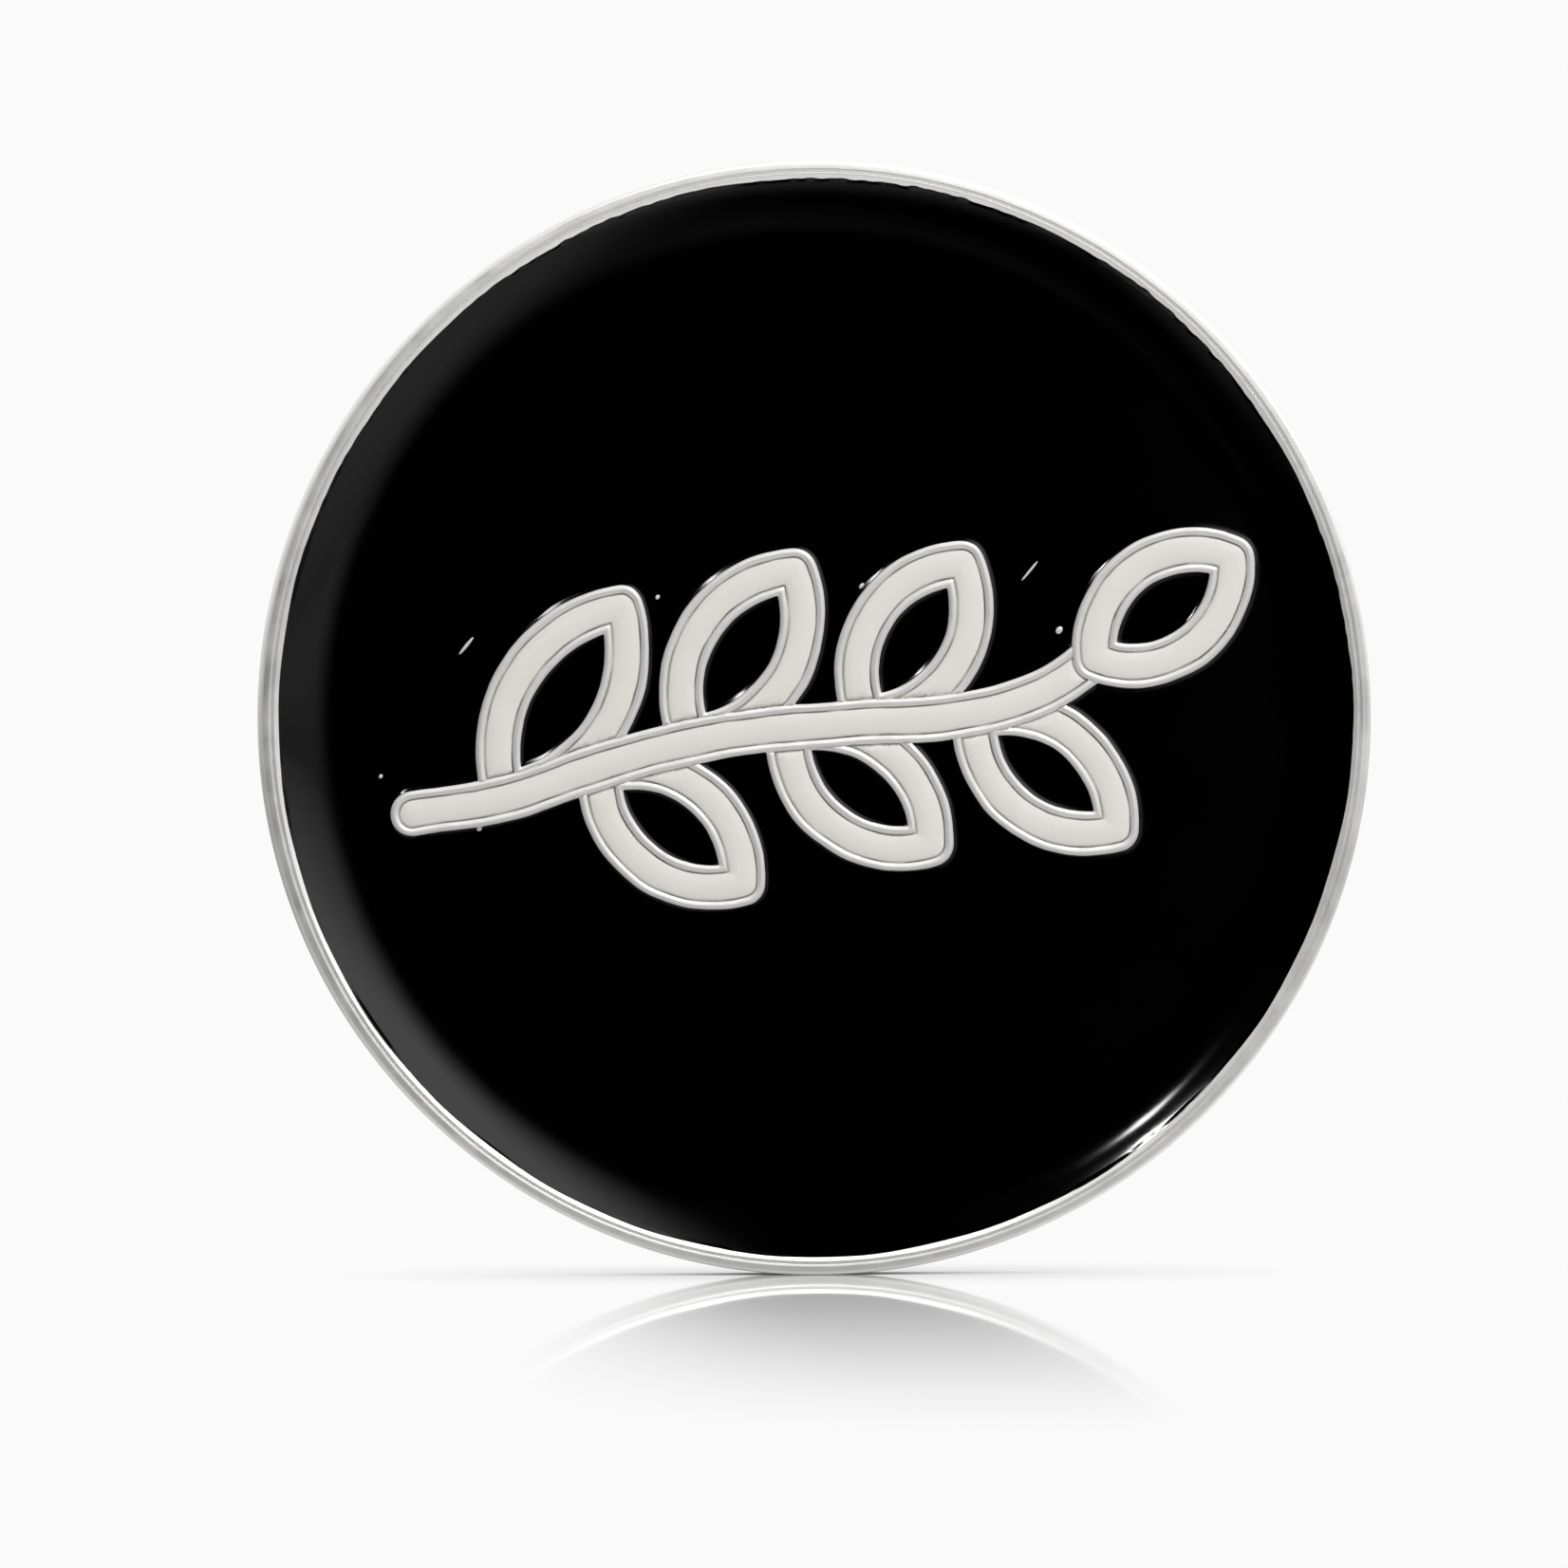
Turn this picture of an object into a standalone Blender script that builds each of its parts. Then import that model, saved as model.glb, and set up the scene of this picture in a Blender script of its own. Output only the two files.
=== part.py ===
"""Round enamel pin: a die-struck badge filled with enamel, two soldered posts and two butterfly clutches.

The badge is modelled lying on its back, front up, under the empty "badge", which stands it upright:
its front then faces -Y, its posts point along +Y and +Z is up as worn. The origin is the middle of
the back face. Each clutch hangs from an empty on its post, and each spring wing from an empty on the
line that the wing rocks about.
"""

import math

import bmesh
import bpy

MM = 0.001

# ---- struck badge, seen with its front up: z = 0 is the back face ----
DISC_RADIUS = 15.0 * MM
BADGE_THICKNESS = 1.5 * MM
RIM_WIDTH = 0.48 * MM
RIM_ROUNDING = 0.25 * MM
RECESS_DEPTH = 0.5 * MM
BACK_EDGE_BEVEL = 0.1 * MM
BACK_RING_WIDTH = 0.65 * MM
BACK_FIELD_DEPTH = 0.1 * MM
BACK_PAD_RADIUS = 4.1 * MM
DISC_STEPS = 72

# ---- raised line-work: each stroke is a cream channel between two thin metal lines ----
STROKE_HALF_WIDTH = 0.60 * MM
METAL_LINE_WIDTH = 0.21 * MM
CHANNEL_HALF_WIDTH = STROKE_HALF_WIDTH - METAL_LINE_WIDTH
CHORD_ERROR = 0.012 * MM

# The sprig's stem, and its leaves as (place along the stem, side, angle, length, width). The last
# leaf grows from the stem's end and lies over it; the others pass under the stem.
STEM_ROUTE_MM = [(-10.9, -2.55), (-8.4, -2.15), (-5.4, -1.15), (-2.4, -0.45),
                 (0.8, -0.15), (3.8, 0.05), (6.0, 0.65), (7.5, 1.6)]
STEM_STEPS = 6
LEAVES_MM = [
    (-8.5, 1, 58, 5.9, 2.7),
    (-3.5, 1, 58, 5.3, 2.7),
    (1.5, 1, 58, 4.9, 2.6),
    (-5.8, -1, -38, 4.9, 2.5),
    (-0.8, -1, -38, 4.9, 2.5),
    (4.2, -1, -38, 4.9, 2.5),
]
TIP_LEAF_MM = (36, 4.6, 2.6)
LEAF_ROOT_OFFSET = 0.12 * MM

# ---- enamel fills ----
ENAMEL_GAP = 0.015 * MM
BLACK_LEVEL = BADGE_THICKNESS - 0.14 * MM
CREAM_LEVEL = BADGE_THICKNESS - 0.10 * MM

# ---- posts, each a nail soldered to the back ----
POST_SPACING = 16.0 * MM
POST_RADIUS = 0.53 * MM
POST_LENGTH = 7.9 * MM
POST_POINT_LENGTH = 1.0 * MM
POST_POINT_RADIUS = 0.12 * MM
POST_HEAD_RADIUS = 2.4 * MM
POST_HEAD_HEIGHT = 0.25 * MM
GROOVE_RADIUS = 0.42 * MM
GROOVE_MIDDLE = 5.95 * MM
GROOVE_HALF_LENGTH = 0.17 * MM
GROOVE_SLOPE = 0.13 * MM
SEAT_GAP = 0.01 * MM
SOLDER_GAP = 0.02 * MM
SOLDER_WIDTH = 0.53 * MM
SOLDER_HEIGHT = 0.17 * MM
POST_STEPS = 20
SOLDER_STEPS = 24

# ---- butterfly clutches: heights are measured from the cap's underside, away from the badge ----
CLUTCH_HEIGHT = 5.2 * MM
CAP_RADIUS = 5.65 * MM
SHEET = 0.35 * MM
ROLLED_RIM_HEIGHT = 1.02 * MM
CAP_STEPS = 32

# Two stretches of the cap's section, as (radius, height): the nipple that the post goes through,
# down its outside and up its inside, and the rim's inside with the lip that is rolled in over the web.
NIPPLE_SECTION_MM = [(1.80, 0.0), (1.25, -0.62), (0.98, -0.80), (0.65, -0.80),
                     (0.65, -0.45), (0.88, -0.45), (1.55, 0.35)]
LIP_SECTION_MM = [(5.18, 0.35), (5.30, 0.45), (5.30, 0.62), (5.18, 0.69),
                  (4.975, 0.70), (4.87, 0.85), (4.975, 1.00)]
WEB_RADIUS = 5.15 * MM
WEB_SHEET = 0.30 * MM
WEB_TOP_RADIUS = 3.75 * MM
WEB_TOP_HEIGHT = 1.40 * MM
WEB_FLANGE_RADIUS = 4.45 * MM
SLOT_HALF_WIDTH = 1.62 * MM
SLOT_HALF_LENGTH = 2.40 * MM
WING_SHEET = 0.30 * MM
JAW_HEIGHT = 0.75 * MM
JAW_GAP = 0.40 * MM
JAW_NOTCH_RADIUS = 0.60 * MM
LEG_DISTANCE = 1.35 * MM
LEG_BEND = 0.30 * MM
PIVOT_HEIGHT = 1.25 * MM
HUMP_ROUTE_MM = [(1.35, 1.05), (1.35, 2.1), (1.85, 3.5), (3.0, 4.55), (4.4, 4.35), (5.2, 3.1)]
HUMP_STEPS = 3
WING_HALF_WIDTH = 2.80 * MM
WING_CORNER = 1.50 * MM
WING_WAIST = 2.00 * MM
LEG_HALF_WIDTH = 2.20 * MM
WING_REACH = 5.45 * MM


def clear_scene():
    for old in list(bpy.data.objects):
        bpy.data.objects.remove(old)


def new_collection(name):
    collection = bpy.data.collections.new(name)
    bpy.context.scene.collection.children.link(collection)
    return collection


def new_material(name, colour, metallic, roughness):
    material = bpy.data.materials.new(name)
    material.use_nodes = True
    shader = material.node_tree.nodes["Principled BSDF"]
    shader.inputs["Base Color"].default_value = (*colour, 1.0)
    shader.inputs["Metallic"].default_value = metallic
    shader.inputs["Roughness"].default_value = roughness
    return material


def new_empty(name, parent, location, rotation=(0.0, 0.0, 0.0)):
    empty = bpy.data.objects.new(name, None)
    empty.empty_display_size = DISC_RADIUS / 5
    empty.location = location
    empty.rotation_euler = rotation
    empty.parent = parent
    PARTS.objects.link(empty)
    return empty


# ---- outlines, as closed lists of (x, y) points running anticlockwise ----

def millimetres(points):
    return [tuple(value * MM for value in point) for point in points]


def arc(centre, radius, start, end):
    """Points on an arc, from angle start to angle end in radians, both ends included."""
    step = 2 * math.acos(1 - CHORD_ERROR / radius)
    count = max(2, math.ceil(abs(end - start) / step))
    points = []
    for i in range(count + 1):
        angle = start + (end - start) * i / count
        points.append((centre[0] + radius * math.cos(angle), centre[1] + radius * math.sin(angle)))
    return points


def circle(radius, steps=DISC_STEPS):
    turn = 2 * math.pi / steps
    return [(radius * math.cos(i * turn), radius * math.sin(i * turn)) for i in range(steps)]


def smooth_line(route, steps):
    """A Catmull-Rom curve through the route's points, with steps pieces between each two."""
    ends = [tuple(2 * a - b for a, b in zip(route[0], route[1]))]
    ends.append(tuple(2 * a - b for a, b in zip(route[-1], route[-2])))
    knots = [ends[0], *route, ends[1]]
    points = []
    for i in range(1, len(knots) - 2):
        before, here, there, after = knots[i - 1:i + 3]
        for j in range(steps):
            t = j / steps
            point = []
            for a, b, c, d in zip(before, here, there, after):
                bend = 2 * a - 5 * b + 4 * c - d
                twist = 3 * b - a - 3 * c + d
                point.append(0.5 * (2 * b + (c - a) * t + bend * t * t + twist * t ** 3))
            points.append(tuple(point))
    points.append(route[-1])
    return points


def direction_at(line, i):
    before = line[max(i - 1, 0)]
    after = line[min(i + 1, len(line) - 1)]
    return math.atan2(after[1] - before[1], after[0] - before[0])


def beside(line, i, distance):
    """The point at a distance to the left of the line at its point i."""
    across = direction_at(line, i) + math.pi / 2
    return (line[i][0] + distance * math.cos(across), line[i][1] + distance * math.sin(across))


def stroke(line, half_width, round_ends=True):
    """The outline of a stroke of even width along an open line."""
    last = len(line) - 1
    right = [beside(line, i, -half_width) for i in range(last + 1)]
    left = [beside(line, i, half_width) for i in range(last, -1, -1)]
    if not round_ends:
        return right + left
    end = direction_at(line, last)
    start = direction_at(line, 0)
    quarter = math.pi / 2
    nose = arc(line[last], half_width, end - quarter, end + quarter)[1:-1]
    tail = arc(line[0], half_width, start + quarter, start + 3 * quarter)[1:-1]
    return right + nose + left + tail


def leaf(root, angle, length, width, offset):
    """A leaf's outline: two arcs from root to tip, moved outwards by offset (inwards if negative)."""
    half = length / 2
    bulge = width / 2
    radius = (half * half + bulge * bulge) / (2 * bulge)
    depth = radius - bulge
    if offset > 0:
        corner = math.atan2(depth, half)
    else:
        corner = math.asin(depth / (radius + offset))
    far = math.pi - corner
    points = arc((half, depth), radius + offset, -far, -corner)[:-1]
    if offset > 0:
        points += arc((length, 0), offset, -corner, corner)[:-1]
    points += arc((half, -depth), radius + offset, corner, far)[:-1]
    if offset > 0:
        points += arc((0, 0), offset, far, far + 2 * corner)[:-1]
    cos, sin = math.cos(angle), math.sin(angle)
    return [(root[0] + x * cos - y * sin, root[1] + x * sin + y * cos) for x, y in points]


def stem_line():
    return smooth_line(millimetres(STEM_ROUTE_MM), STEM_STEPS)


def leaf_shapes():
    """Each leaf's root, angle, length and width; the tip leaf comes last."""
    line = stem_line()
    shapes = []
    for along, side, angle, length, width in LEAVES_MM:
        i = min(range(len(line)), key=lambda k: abs(line[k][0] - along * MM))
        root = beside(line, i, side * LEAF_ROOT_OFFSET)
        shapes.append((root, math.radians(angle), length * MM, width * MM))
    angle, length, width = TIP_LEAF_MM
    shapes.append((line[-1], math.radians(angle), length * MM, width * MM))
    return shapes


# ---- solids ----

def place(name, mesh, material, parent, location=(0.0, 0.0, 0.0), rotation=(0.0, 0.0, 0.0)):
    if not mesh.materials:
        mesh.materials.append(material)
    piece = bpy.data.objects.new(name, mesh)
    piece.parent = parent
    piece.location = location
    piece.rotation_euler = rotation
    PARTS.objects.link(piece)
    return piece


def baked(source):
    """The source's mesh with its modifiers applied; the source object itself is removed."""
    bpy.context.view_layer.update()
    ready = source.evaluated_get(bpy.context.evaluated_depsgraph_get())
    mesh = bpy.data.meshes.new_from_object(ready)
    bpy.data.objects.remove(source)
    return mesh


def weld(mesh):
    work = bmesh.new()
    work.from_mesh(mesh)
    bmesh.ops.remove_doubles(work, verts=work.verts, dist=ENAMEL_GAP / 100)
    work.to_mesh(mesh)
    work.free()
    return mesh


def prism(loops, bottom, top):
    """A mesh of the flat outlines, filled and raised from bottom to top; inner loops are holes."""
    curve = bpy.data.curves.new("outline", "CURVE")
    curve.dimensions = "2D"
    curve.fill_mode = "BOTH"
    curve.extrude = (top - bottom) / 2
    for loop in loops:
        spline = curve.splines.new("POLY")
        spline.points.add(len(loop) - 1)
        for point, (x, y) in zip(spline.points, loop):
            point.co = (x, y, 0.0, 1.0)
        spline.use_cyclic_u = True
    source = bpy.data.objects.new("outline", curve)
    CUTTERS.objects.link(source)
    mesh = weld(baked(source))
    for vertex in mesh.vertices:
        vertex.co.z += (top + bottom) / 2
    return mesh


def turned(profile, steps, closed=False):
    """A mesh turned about Z from a profile of (radius, height) points, top to bottom outside."""
    mesh = bpy.data.meshes.new("profile")
    edges = [(i, i + 1) for i in range(len(profile) - 1)]
    if closed:
        edges.append((len(profile) - 1, 0))
    mesh.from_pydata([(r, 0.0, h) for r, h in profile], edges, [])
    source = bpy.data.objects.new("profile", mesh)
    CUTTERS.objects.link(source)
    screw = source.modifiers.new("turn", "SCREW")
    screw.steps = steps
    screw.render_steps = steps
    screw.use_merge_vertices = True
    screw.merge_threshold = ENAMEL_GAP / 100
    return weld(baked(source))


def combine(mesh, cutters, operation="DIFFERENCE"):
    """The mesh with each of the cutter meshes cut out of it, or kept in common with it."""
    for cutter in cutters:
        target = bpy.data.objects.new("target", mesh)
        tool = bpy.data.objects.new("cutter", cutter)
        CUTTERS.objects.link(target)
        CUTTERS.objects.link(tool)
        step = target.modifiers.new("cut", "BOOLEAN")
        step.operation = operation
        step.solver = "EXACT"
        step.object = tool
        mesh = weld(baked(target))
        bpy.data.objects.remove(tool)
    return mesh


def soften(mesh, degrees=40):
    mesh.shade_smooth()
    mesh.set_sharp_from_angle(angle=math.radians(degrees))
    return mesh


def loose_bodies(mesh):
    """The separate bodies of a mesh, as one mesh each, from left to right."""
    work = bmesh.new()
    work.from_mesh(mesh)
    work.verts.index_update()
    left = set(work.verts)
    groups = []
    while left:
        stack = [left.pop()]
        group = set(stack)
        while stack:
            for edge in stack.pop().link_edges:
                for vertex in edge.verts:
                    if vertex in left:
                        left.discard(vertex)
                        group.add(vertex)
                        stack.append(vertex)
        groups.append({vertex.index for vertex in group})
    work.free()
    groups.sort(key=lambda group: min(mesh.vertices[i].co.x for i in group))
    bodies = []
    for group in groups:
        body = bmesh.new()
        body.from_mesh(mesh)
        body.verts.index_update()
        others = [vertex for vertex in body.verts if vertex.index not in group]
        bmesh.ops.delete(body, geom=others, context="VERTS")
        part = bpy.data.meshes.new("body")
        body.to_mesh(part)
        body.free()
        bodies.append(part)
    return bodies


# ---- the badge ----

def black_area(gap, bottom, top):
    """What the black fills: the disc inside the rim, less every stroke, with the leaves' insides."""
    over = ENAMEL_GAP
    field = prism([circle(DISC_RADIUS - RIM_WIDTH - gap)], bottom, top)
    grown = STROKE_HALF_WIDTH + gap
    cutters = []
    for shape in leaf_shapes():
        loops = [leaf(*shape, grown), leaf(*shape, -grown)]
        cutters.append(prism(loops, bottom - over, top + over))
    cutters.append(prism([stroke(stem_line(), grown)], bottom - over, top + over))
    return combine(field, cutters)


def cream_areas(gap, bottom, top):
    """What the cream fills: a channel round each leaf and one along the stem, the stem's last."""
    over = ENAMEL_GAP
    shapes = leaf_shapes()
    half = CHANNEL_HALF_WIDTH - gap
    grown = STROKE_HALF_WIDTH + gap
    areas = []
    for shape in shapes[:-1]:
        channel = prism([leaf(*shape, half), leaf(*shape, -half)], bottom, top)
        stem = prism([stroke(stem_line(), grown)], bottom - over, top + over)
        areas.append(combine(channel, [stem]))
    areas.append(prism([leaf(*shapes[-1], half), leaf(*shapes[-1], -half)], bottom, top))
    tip = prism([leaf(*shapes[-1], grown)], bottom - over, top + over)
    areas.append(combine(prism([stroke(stem_line(), half)], bottom, top), [tip]))
    return areas


def blank_profile():
    """The struck disc's section: rounded front edge, raised ring and plain pad on the back."""
    rounding = (DISC_RADIUS - RIM_ROUNDING, BADGE_THICKNESS - RIM_ROUNDING)
    edge = arc(rounding, RIM_ROUNDING, math.pi / 2, 0)
    ring = DISC_RADIUS - BACK_RING_WIDTH
    return [
        (0.0, BADGE_THICKNESS), *edge,
        (DISC_RADIUS, BACK_EDGE_BEVEL), (DISC_RADIUS - BACK_EDGE_BEVEL, 0.0),
        (ring, 0.0), (ring - BACK_FIELD_DEPTH, BACK_FIELD_DEPTH),
        (BACK_PAD_RADIUS + BACK_FIELD_DEPTH, BACK_FIELD_DEPTH), (BACK_PAD_RADIUS, 0.0),
        (0.0, 0.0),
    ]


def make_struck_base(parent, metal):
    floor = BADGE_THICKNESS - RECESS_DEPTH
    above = BADGE_THICKNESS + RECESS_DEPTH
    cutters = [black_area(0.0, floor, above), *cream_areas(0.0, floor, above)]
    blank = turned(blank_profile(), DISC_STEPS)
    place("struck_base", soften(combine(blank, cutters), 30), metal, parent)


def make_enamel(parent, black, cream):
    bottom = BADGE_THICKNESS - RECESS_DEPTH + SEAT_GAP
    bodies = loose_bodies(black_area(ENAMEL_GAP, bottom, BLACK_LEVEL))
    place("black_field", bodies[0], black, parent)
    for number, body in enumerate(bodies[1:], start=1):
        place(f"black_leaf_fill_{number}", body, black, parent)
    *leaves, stem = cream_areas(ENAMEL_GAP, bottom, CREAM_LEVEL)
    for number, body in enumerate(leaves, start=1):
        place(f"cream_leaf_{number}", body, cream, parent)
    place("cream_stem", stem, cream, parent)


# ---- posts ----

def post_profile():
    seat = BACK_FIELD_DEPTH - SEAT_GAP
    chamfer = POST_HEAD_HEIGHT / 4
    fillet = POST_RADIUS / 3
    groove_top = GROOVE_MIDDLE - GROOVE_HALF_LENGTH
    groove_end = GROOVE_MIDDLE + GROOVE_HALF_LENGTH
    return [
        (0.0, seat), (POST_HEAD_RADIUS, seat), (POST_HEAD_RADIUS, chamfer - POST_HEAD_HEIGHT),
        (POST_HEAD_RADIUS - chamfer, -POST_HEAD_HEIGHT),
        (POST_RADIUS + fillet, -POST_HEAD_HEIGHT), (POST_RADIUS, -POST_HEAD_HEIGHT - fillet),
        (POST_RADIUS, GROOVE_SLOPE - groove_top),
        (GROOVE_RADIUS, -groove_top), (GROOVE_RADIUS, -groove_end),
        (POST_RADIUS, -groove_end - GROOVE_SLOPE), (POST_RADIUS, -POST_LENGTH),
        (POST_POINT_RADIUS, -POST_LENGTH - POST_POINT_LENGTH),
        (0.0, -POST_LENGTH - POST_POINT_LENGTH - POST_POINT_RADIUS / 2),
    ]


def solder_profile():
    """A hollow fillet round the post's head."""
    seat = BACK_FIELD_DEPTH - SEAT_GAP
    inner = POST_HEAD_RADIUS + SOLDER_GAP
    thin = SOLDER_WIDTH / 3
    return [
        (inner + SOLDER_WIDTH, seat), (inner + SOLDER_WIDTH, seat - thin / 4),
        (inner + thin, seat - thin), (inner + thin / 4, -SOLDER_HEIGHT),
        (inner, -SOLDER_HEIGHT), (inner, seat),
    ]


def make_posts(parent, metal, solder):
    post = soften(turned(post_profile(), POST_STEPS))
    fillet = soften(turned(solder_profile(), SOLDER_STEPS, closed=True))
    for side, x in (("left", -POST_SPACING / 2), ("right", POST_SPACING / 2)):
        place(f"post_{side}", post, metal, parent, (x, 0.0, 0.0))
        place(f"solder_fillet_{side}", fillet, solder, parent, (x, 0.0, 0.0))


# ---- butterfly clutches ----

def cap_profile():
    """A dished sheet-metal cap: flat floor, nipple round the post, rim rolled in over the web."""
    wall = CAP_RADIUS - SHEET
    corner = CAP_RADIUS - SHEET / 3
    top = ROLLED_RIM_HEIGHT
    outside = [
        (wall, top), (corner, top - SHEET / 4), (CAP_RADIUS, top - SHEET),
        (CAP_RADIUS, SHEET), (corner, SHEET / 4), (wall, 0.0),
    ]
    return outside + millimetres(NIPPLE_SECTION_MM) + millimetres(LIP_SECTION_MM)


def web_profile():
    """The spring's fixed part: a flange held by the cap's rim, stepping up to a flat top."""
    low = SHEET + SEAT_GAP
    draft = WEB_SHEET / 2
    return [
        (0.0, WEB_TOP_HEIGHT), (WEB_TOP_RADIUS, WEB_TOP_HEIGHT),
        (WEB_FLANGE_RADIUS, low + WEB_SHEET), (WEB_RADIUS, low + WEB_SHEET), (WEB_RADIUS, low),
        (WEB_FLANGE_RADIUS - draft, low), (WEB_TOP_RADIUS - draft, WEB_TOP_HEIGHT - WEB_SHEET),
        (0.0, WEB_TOP_HEIGHT - WEB_SHEET),
    ]


def box_outline(half_x, half_y):
    return [(-half_x, -half_y), (half_x, -half_y), (half_x, half_y), (-half_x, half_y)]


def web_mesh():
    slot = prism([box_outline(SLOT_HALF_WIDTH, SLOT_HALF_LENGTH)], 0.0, 2 * WEB_TOP_HEIGHT)
    return combine(turned(web_profile(), CAP_STEPS), [slot])


def wing_line():
    """The wing's section from its jaw, up its leg and over the hump to its tip."""
    bend = (LEG_DISTANCE - LEG_BEND, JAW_HEIGHT + LEG_BEND)
    jaw = [(JAW_GAP, JAW_HEIGHT), *arc(bend, LEG_BEND, -math.pi / 2, 0)[:-1]]
    return jaw + smooth_line(millimetres(HUMP_ROUTE_MM), HUMP_STEPS)


def wing_plan():
    """The wing seen along the post: narrow at its leg, wide and rounded at its tip."""
    inner = (WING_REACH - WING_CORNER, WING_HALF_WIDTH - WING_CORNER)
    upper = arc(inner, WING_CORNER, 0, math.pi / 2)
    upper += [(WING_WAIST, LEG_HALF_WIDTH), (0.0, LEG_HALF_WIDTH)]
    lower = [(x, -y) for x, y in reversed(upper)]
    return upper + lower


def wing_mesh():
    """One spring wing, with its jaw notched round the post, in the clutch's own axes."""
    section = stroke(wing_line(), WING_SHEET / 2, round_ends=False)
    strip = prism([section], -WING_HALF_WIDTH, WING_HALF_WIDTH)
    for vertex in strip.vertices:
        x, height, across = vertex.co
        vertex.co = (x, -across, height)
    plan = prism([wing_plan()], 0.0, 2 * WING_REACH)
    notch = prism([circle(JAW_NOTCH_RADIUS, CAP_STEPS)], 0.0, LEG_DISTANCE)
    return combine(combine(strip, [plan], "INTERSECT"), [notch])


def make_clutch(side, x, parent, meshes, plate, spring):
    """A cap and web on the post, and two wings that rock about lines through their legs."""
    clutch = new_empty(f"clutch_{side}", parent, (x, 0.0, -CLUTCH_HEIGHT), (math.pi, 0.0, 0.0))
    cap, web, wing = meshes
    place(f"clutch_cap_{side}", cap, plate, clutch)
    place(f"spring_web_{side}", web, spring, clutch)
    outward = math.copysign(1.0, x)
    for end, way in (("outer", outward), ("inner", -outward)):
        turn = (0.0, 0.0, 0.0 if way > 0 else math.pi)
        pivot = (way * LEG_DISTANCE, 0.0, PIVOT_HEIGHT)
        hinge = new_empty(f"hinge_{end}_{side}", clutch, pivot, turn)
        place(f"wing_{end}_{side}", wing, spring, hinge, (-LEG_DISTANCE, 0.0, -PIVOT_HEIGHT))


def make_clutches(parent, plate, spring):
    cap = soften(turned(cap_profile(), CAP_STEPS, closed=True))
    meshes = (cap, soften(web_mesh(), 30), soften(wing_mesh(), 30))
    make_clutch("left", -POST_SPACING / 2, parent, meshes, plate, spring)
    make_clutch("right", POST_SPACING / 2, parent, meshes, plate, spring)


clear_scene()
PARTS = new_collection("enamel_pin")
CUTTERS = new_collection("cutters")
nickel = new_material("polished_nickel", (0.78, 0.77, 0.75), 1.0, 0.18)
black = new_material("black_enamel", (0.003, 0.003, 0.003), 0.0, 0.08)
cream = new_material("cream_enamel", (0.70, 0.69, 0.65), 0.0, 0.25)
post_metal = new_material("plated_steel", (0.70, 0.70, 0.69), 1.0, 0.25)
solder = new_material("solder", (0.55, 0.55, 0.54), 1.0, 0.40)
spring = new_material("plated_spring", (0.74, 0.73, 0.71), 1.0, 0.22)
badge = new_empty("badge", None, (0.0, 0.0, 0.0), (math.pi / 2, 0.0, 0.0))
make_struck_base(badge, nickel)
make_enamel(badge, black, cream)
make_posts(badge, post_metal, solder)
make_clutches(badge, nickel, spring)
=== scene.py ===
import math

import bpy
import numpy as np
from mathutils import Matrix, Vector
from mathutils.geometry import delaunay_2d_cdt


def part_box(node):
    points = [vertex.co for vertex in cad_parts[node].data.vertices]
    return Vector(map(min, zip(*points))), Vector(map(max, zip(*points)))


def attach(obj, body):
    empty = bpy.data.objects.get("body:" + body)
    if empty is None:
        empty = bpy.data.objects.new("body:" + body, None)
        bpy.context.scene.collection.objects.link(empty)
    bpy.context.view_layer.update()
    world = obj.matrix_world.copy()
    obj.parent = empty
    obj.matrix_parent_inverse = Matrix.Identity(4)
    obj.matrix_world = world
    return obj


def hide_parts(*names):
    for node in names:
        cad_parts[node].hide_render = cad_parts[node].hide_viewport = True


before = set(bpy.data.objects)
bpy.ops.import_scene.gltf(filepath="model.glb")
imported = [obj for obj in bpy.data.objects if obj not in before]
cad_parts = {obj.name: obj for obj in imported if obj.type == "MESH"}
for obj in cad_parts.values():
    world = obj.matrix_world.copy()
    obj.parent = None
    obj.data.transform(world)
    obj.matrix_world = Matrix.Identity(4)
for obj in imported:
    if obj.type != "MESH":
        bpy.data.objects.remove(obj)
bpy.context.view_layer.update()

MM = 0.001
SHARP = math.radians(38)

# ---------------------------------------------------------------------------------------------
# Sizes in millimetres. The badge is worked out lying on its back: x to the right, y up as worn
# and h towards the front, with h = 0 on the back face. The frame gives the main ones.
# ---------------------------------------------------------------------------------------------


def box_mm(node):
    low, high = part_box(node)
    return np.array(low) / MM, np.array(high) / MM


BASE_LOW, BASE_HIGH = box_mm("struck_base")
FIELD_LOW, FIELD_HIGH = box_mm("black_field")
STEM_LOW, STEM_HIGH = box_mm("cream_stem")
DISC_RADIUS = (BASE_HIGH[0] - BASE_LOW[0]) / 2
TOP = -BASE_LOW[1]
BLACK_LEVEL = -FIELD_LOW[1]
CREAM_LEVEL = -STEM_LOW[1]
ENAMEL_BOTTOM = -FIELD_HIGH[1]
RIM_WIDTH = 0.48
FIELD_RADIUS = DISC_RADIUS - RIM_WIDTH
RECESS_FLOOR = ENAMEL_BOTTOM - 0.01

# Half widths of a stroke over its metal lines, and of the enamel channel between them.
STROKE = 0.60
CHANNEL = 0.39
LINE_MIDDLE = (STROKE + CHANNEL) / 2
LINE_HALF = (STROKE - CHANNEL) / 2

# The black's level in the open, and how near and how high it climbs to the strokes and to the rim.
BLACK_BOTTOM = BLACK_LEVEL - 0.06
LINE_MENISCUS = 0.16
LINE_RISE = 0.010
RIM_MENISCUS = 1.85
RIM_RISE = 0.143

STEM_ROUTE = [(-10.9, -2.55), (-8.4, -2.15), (-5.4, -1.15), (-2.4, -0.45),
              (0.8, -0.15), (3.8, 0.05), (6.0, 0.65), (7.5, 1.6)]
STEM_STEPS = 6

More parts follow.
